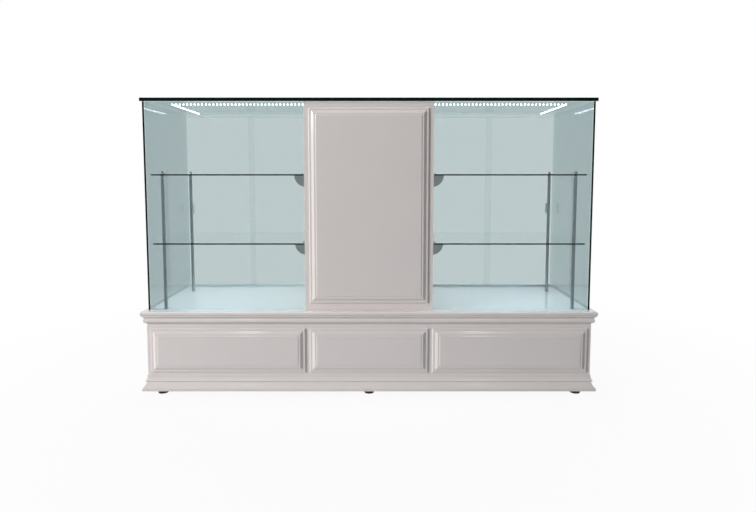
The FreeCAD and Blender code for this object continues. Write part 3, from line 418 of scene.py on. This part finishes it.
def solids_of(node_name):
    """The low and high corners of each separate solid of a node."""
    mesh = bmesh.new()
    mesh.from_mesh(nodes[node_name].data)
    bmesh.ops.remove_doubles(mesh, verts=mesh.verts, dist=SAME_POINT)
    waiting = set(mesh.verts)
    corners = []
    while waiting:
        reached = [waiting.pop()]
        for vertex in reached:
            near = {edge.other_vert(vertex) for edge in vertex.link_edges} & waiting
            waiting -= near
            reached.extend(near)
        spans = [sorted(vertex.co[axis] for vertex in reached) for axis in range(3)]
        corners.append((Vector(span[0] for span in spans), Vector(span[-1] for span in spans)))
    mesh.free()
    return sorted(corners, key=lambda pair: tuple(pair[0]))


def add_turned(mesh, outline, centre, axis, steps=32):
    """Adds a round shape: an outline of radius and reach in millimetres, spun about an axis."""
    across = axis.orthogonal().normalized()
    start = []
    for radius, reach in outline:
        start.append(mesh.verts.new(centre + across * radius / 1000 + axis * reach / 1000))
    lines = [mesh.edges.new(pair) for pair in zip(start, start[1:])]
    before = set(mesh.faces)
    bmesh.ops.spin(
        mesh, geom=start + lines, cent=centre, axis=axis, angle=math.tau, steps=steps, use_merge=True
    )
    made = [face for face in mesh.faces if face not in before]
    points = list(dict.fromkeys(vertex for face in made for vertex in face.verts))
    bmesh.ops.remove_doubles(mesh, verts=points, dist=SPUN_POINT)
    made = [face for face in mesh.faces if face not in before]
    bmesh.ops.recalc_face_normals(mesh, faces=made)
    for face in made:
        face.smooth = True


def add_block(mesh, centre, facing, spans, edge=0.0, material=0):
    """Adds a block of spans in millimetres that lies on a facing, with its edges rounded by a width."""
    turn = facing.to_track_quat("Z", "Y")
    place = Matrix.LocRotScale(centre, turn, millimetres(*spans))
    block = bmesh.ops.create_cube(mesh, size=1, matrix=place)
    faces = list(dict.fromkeys(face for vertex in block["verts"] for face in vertex.link_faces))
    for face in faces:
        face.material_index = material
    if edge:
        edges = list(dict.fromkeys(line for face in faces for line in face.edges))
        bmesh.ops.bevel(
            mesh, geom=edges, offset=edge / 1000, affect="EDGES", segments=2, profile=0.5, material=-1
        )


def add_screw(mesh, place):
    """Adds a cross-head screw that faces the rear: a low dome with two dark bars across it, painted
    shade in place of the cross slot.
    """
    add_turned(mesh, SCREW_HEAD, place, TO_REAR, steps=20)
    for spans in SLOT_SHADE_BARS:
        add_block(mesh, place + millimetres(0, SLOT_RISE, 0), TO_REAR, spans, material=1)


def hinge_screws(node_name, side):
    """Two screws in each leaf of the pillar door's hinges."""
    pin_x = joint_place("pillar_door_hinge").x
    mesh = bmesh.new()
    for low, high in solids_of(node_name):
        for rise in (-SCREW_RISE, SCREW_RISE):
            face = Vector((pin_x, low.y, (low.z + high.z) / 2))
            add_screw(mesh, face + millimetres(side * LEAF_MIDDLE, LEAF_THICK, rise))
    # The second finish, black plastic, is painted shade in the screw slots.
    new_piece(f"{node_name}_screws", mesh, body_of(node_name), "satin_metal", zinc, black_plastic)


def cup_liner(node_name):
    """The metal liner pressed into a sliding panel's finger cup."""
    low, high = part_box(node_name)
    inset = CUP_INSET / 1000
    x = low.x + inset if node_name.endswith("a") else high.x - inset
    centre = Vector((x, high.y, (low.z + high.z) / 2))
    mesh = bmesh.new()
    add_turned(mesh, CUP_LINER, centre, TO_REAR, steps=48)
    piece = new_piece(f"{node_name}_cup_liner", mesh, body_of(node_name), "satin_metal", satin)
    soften(piece, 0)


def rocker_marks():
    """The on and off marks, printed on the two faces of the light switch's rocker."""
    pivot = joint_place("switch_rocker_hinge")
    mesh = bmesh.new()
    for upper in (True, False):
        faces = [
            face for face in nodes["switch_rocker"].data.polygons
            if face.normal.y > ROCKER_FACE and (face.center.z > pivot.z) == upper
        ]
        area = sum(face.area for face in faces)
        centre = sum((face.center * face.area for face in faces), Vector()) / area
        if upper:
            add_block(mesh, centre, faces[0].normal, ON_BAR)
        else:
            add_turned(mesh, OFF_RING, centre, faces[0].normal.copy())
    new_piece("switch_rocker_marks", mesh, "switch_rocker", "driver_case", pale_plastic)


def driver_lid():
    """The driver's clipped lid with its row of vents, drawn as dark bars of painted shade in place of
    openings, on the side that faces the pillar's door.
    """
    low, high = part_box("light_driver")
    spans = (high - low) * 1000
    face = Vector(((low.x + high.x) / 2, high.y, (low.z + high.z) / 2))
    mesh = bmesh.new()
    lid = (spans.x - LID_MARGIN * 2, spans.z - LID_MARGIN * 2, LID_THICK)
    add_block(mesh, face, TO_REAR, lid, edge=LID_EDGE)
    for number in range(VENTS):
        shift = (number - (VENTS - 1) / 2) * VENT_PITCH
        add_block(mesh, face + millimetres(shift, LID_THICK / 2, 0), TO_REAR, VENT_SHADE_BAR, material=1)
    for side in SIDES:
        add_screw(mesh, face + millimetres(side * (spans.x / 2 - LID_SCREW), LID_THICK / 2, 0))
    # Black plastic on the lid is painted shade in the vents and the screw slots.
    new_piece("light_driver_lid", mesh, "cabinet", "driver_case", pale_plastic, black_plastic)


hinge_screws("hinge_frame_leaves", -1)
hinge_screws("hinge_door_leaves", 1)
for node_name in nodes:
    if node_name.startswith("base_slider"):
        cup_liner(node_name)
rocker_marks()
driver_lid()


# Studio

# Light rows: watts for each metre, colour, beam in degrees, and sizes and gaps in metres.
ROW_POWER = 7.5
ROW_COLOUR = (0.77, 0.90, 1.0)
ROW_BEAM = 110
ROW_WIDTH, ROW_DROP, ROW_INSET = 0.01, 0.002, 0.006
PILLAR_GAP, END_GAP = 0.13, 0.1

# Floor: half its width, where it fades to white, in metres, and how white it is near the counter.
FLOOR_REACH = 15
FADE_START, FADE_END = 0.9, 2.4
WHITE_NEAR = 0.94

# Camera: place in millimetres, degrees below level, lens and sensor in millimetres, and lens shift.
CAMERA_PLACE = (30, -2643, 982)
CAMERA_PITCH = 4.49
LENS, SENSOR = 26.05, 36
SHIFT_X, SHIFT_Y = 0.0029, -0.0505

# Lamps: the counter's middle, and the x of each glint lamp with the x that it aims at.
MIDDLE = (0, 0, 0.6)
GLINT_LAMPS = ((-1.2, -0.54), (1.0, 0.47))


def lamp(
    name, place, aim, width, height, power, colour=(1, 1, 1), mirrored=True, lights=True, spread=180
):
    """A soft rectangular lamp that looks at a point; it may be left out of gloss, show in gloss alone or
    shine in a narrow beam."""
    data = bpy.data.lights.new(name, "AREA")
    data.shape = "RECTANGLE"
    data.size = width
    data.size_y = height
    data.energy = power
    data.color = colour
    data.spread = math.radians(spread)
    light = bpy.data.objects.new(name, data)
    light.location = place
    light.rotation_euler = (Vector(aim) - Vector(place)).to_track_quat("-Z", "Y").to_euler()
    light.visible_camera = False
    light.visible_glossy = mirrored
    light.visible_diffuse = lights
    scene.collection.objects.link(light)


def light_up_cases():
    """The lenses' own light on the shelves and the deck: one thin lamp under each row of them."""
    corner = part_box("light_bars")
    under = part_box("light_lenses")[0].z - ROW_DROP
    line_y = corner[0].y + ROW_INSET
    end_y = corner[1].y - END_GAP
    for side in SIDES:
        line_x = side * (corner[1].x - ROW_INSET)
        start_x = side * (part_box("pillar_sides")[1].x + PILLAR_GAP)
        rows = (
            ((line_x + start_x) / 2, line_y, abs(line_x - start_x), ROW_WIDTH),
            (line_x, (line_y + end_y) / 2, ROW_WIDTH, end_y - line_y),
        )
        for number, (x, y, width, depth) in enumerate(rows):
            power = ROW_POWER * max(width, depth)
            lamp(
                f"row_{side}_{number}", (x, y, under), (x, y, 0), width, depth, power, ROW_COLOUR,
                mirrored=False, spread=ROW_BEAM,
            )


def seen(tree):
    """A switch that is 1 for what the camera, a reflection or glass sees, and 0 for light."""
    path = tree.nodes.new("ShaderNodeLightPath")
    total = path.outputs["Is Camera Ray"]
    for ray in ("Is Glossy Ray", "Is Transmission Ray"):
        either = tree.nodes.new("ShaderNodeMath")
        either.operation = "MAXIMUM"
        tree.links.new(total, either.inputs[0])
        tree.links.new(path.outputs[ray], either.inputs[1])
        total = either.outputs["Value"]
    return total


def make_world():
    """A dim room that reads as white behind the counter."""
    world = bpy.data.worlds.new("studio")
    world.use_nodes = True
    scene.world = world
    tree = world.node_tree
    tree.nodes.clear()
    output = tree.nodes.new("ShaderNodeOutputWorld")
    room = add(tree, "ShaderNodeBackground", Color=(0.97, 0.99, 1.0, 1), Strength=0.040)
    white = add(tree, "ShaderNodeBackground", Color=(1, 1, 1, 1), Strength=1.0)
    shade = mixed(tree, seen(tree), room.outputs["Background"], white.outputs["Background"])
    tree.links.new(shade, output.inputs["Surface"])


def make_floor():
    """A plain pale floor that fades to white away from the counter."""
    mesh = bmesh.new()
    bmesh.ops.create_grid(mesh, x_segments=1, y_segments=1, size=FLOOR_REACH)
    data = bpy.data.meshes.new("floor")
    mesh.to_mesh(data)
    mesh.free()
    floor = bpy.data.objects.new("floor", data)
    scene.collection.objects.link(floor)
    material, tree, output = new_material("pale_floor")
    paint = add(tree, "ShaderNodeBsdfDiffuse", Color=(0.55, 0.55, 0.55, 1))
    white = add(tree, "ShaderNodeEmission", Color=(1, 1, 1, 1), Strength=1.0)
    place = tree.nodes.new("ShaderNodeTexCoord")
    away = tree.nodes.new("ShaderNodeVectorMath")
    away.operation = "LENGTH"
    tree.links.new(place.outputs["Object"], away.inputs[0])
    fade = add(
        tree, "ShaderNodeMapRange", From_Min=FADE_START, From_Max=FADE_END, To_Min=WHITE_NEAR, To_Max=1.0
    )
    tree.links.new(away.outputs["Value"], fade.inputs["Value"])
    whiteness = tree.nodes.new("ShaderNodeMath")
    whiteness.operation = "MULTIPLY"
    tree.links.new(fade.outputs["Result"], whiteness.inputs[0])
    tree.links.new(seen(tree), whiteness.inputs[1])
    shade = mixed(tree, whiteness.outputs["Value"], paint.outputs["BSDF"], white.outputs["Emission"])
    tree.links.new(shade, output.inputs["Surface"])
    floor.data.materials.append(material)


def make_camera():
    """The photograph's camera: in front of the counter, looking slightly down."""
    data = bpy.data.cameras.new("camera")
    data.sensor_width = SENSOR
    data.lens = LENS
    data.shift_x = SHIFT_X
    data.shift_y = SHIFT_Y
    camera = bpy.data.objects.new("camera", data)
    camera.location = millimetres(*CAMERA_PLACE)
    camera.rotation_euler = (math.radians(90 - CAMERA_PITCH), 0, 0)
    scene.collection.objects.link(camera)
    scene.camera = camera


make_world()
make_floor()
make_camera()
lamp("key", (-8.6, -4.45, 3.85), MIDDLE, width=3.0, height=3.0, power=1030)
lamp("fill", (2.6, -3.4, 2.2), MIDDLE, width=2.0, height=2.0, power=2, mirrored=False)
lamp("back", (-0.8, 3.4, 3.0), (0, 0, 0.7), width=3.0, height=2.0, power=80, mirrored=False)
lamp("above", (0, 0, 3.4), (0, 0, 1.3), width=0.8, height=0.75, power=1.1, mirrored=False, spread=20)
lamp("end", (5.4, 3.6, 2.2), (0.6, 0, 0.5), width=2.5, height=2.0, power=125, mirrored=False)
for number, (lamp_x, panel_x) in enumerate(GLINT_LAMPS):
    place = (lamp_x, -2.72, 1.96)
    aim = (panel_x, -0.29, 0.335)
    lamp(f"glint_{number}", place, aim, width=0.22, height=0.22, power=1.3, lights=False)
light_up_cases()
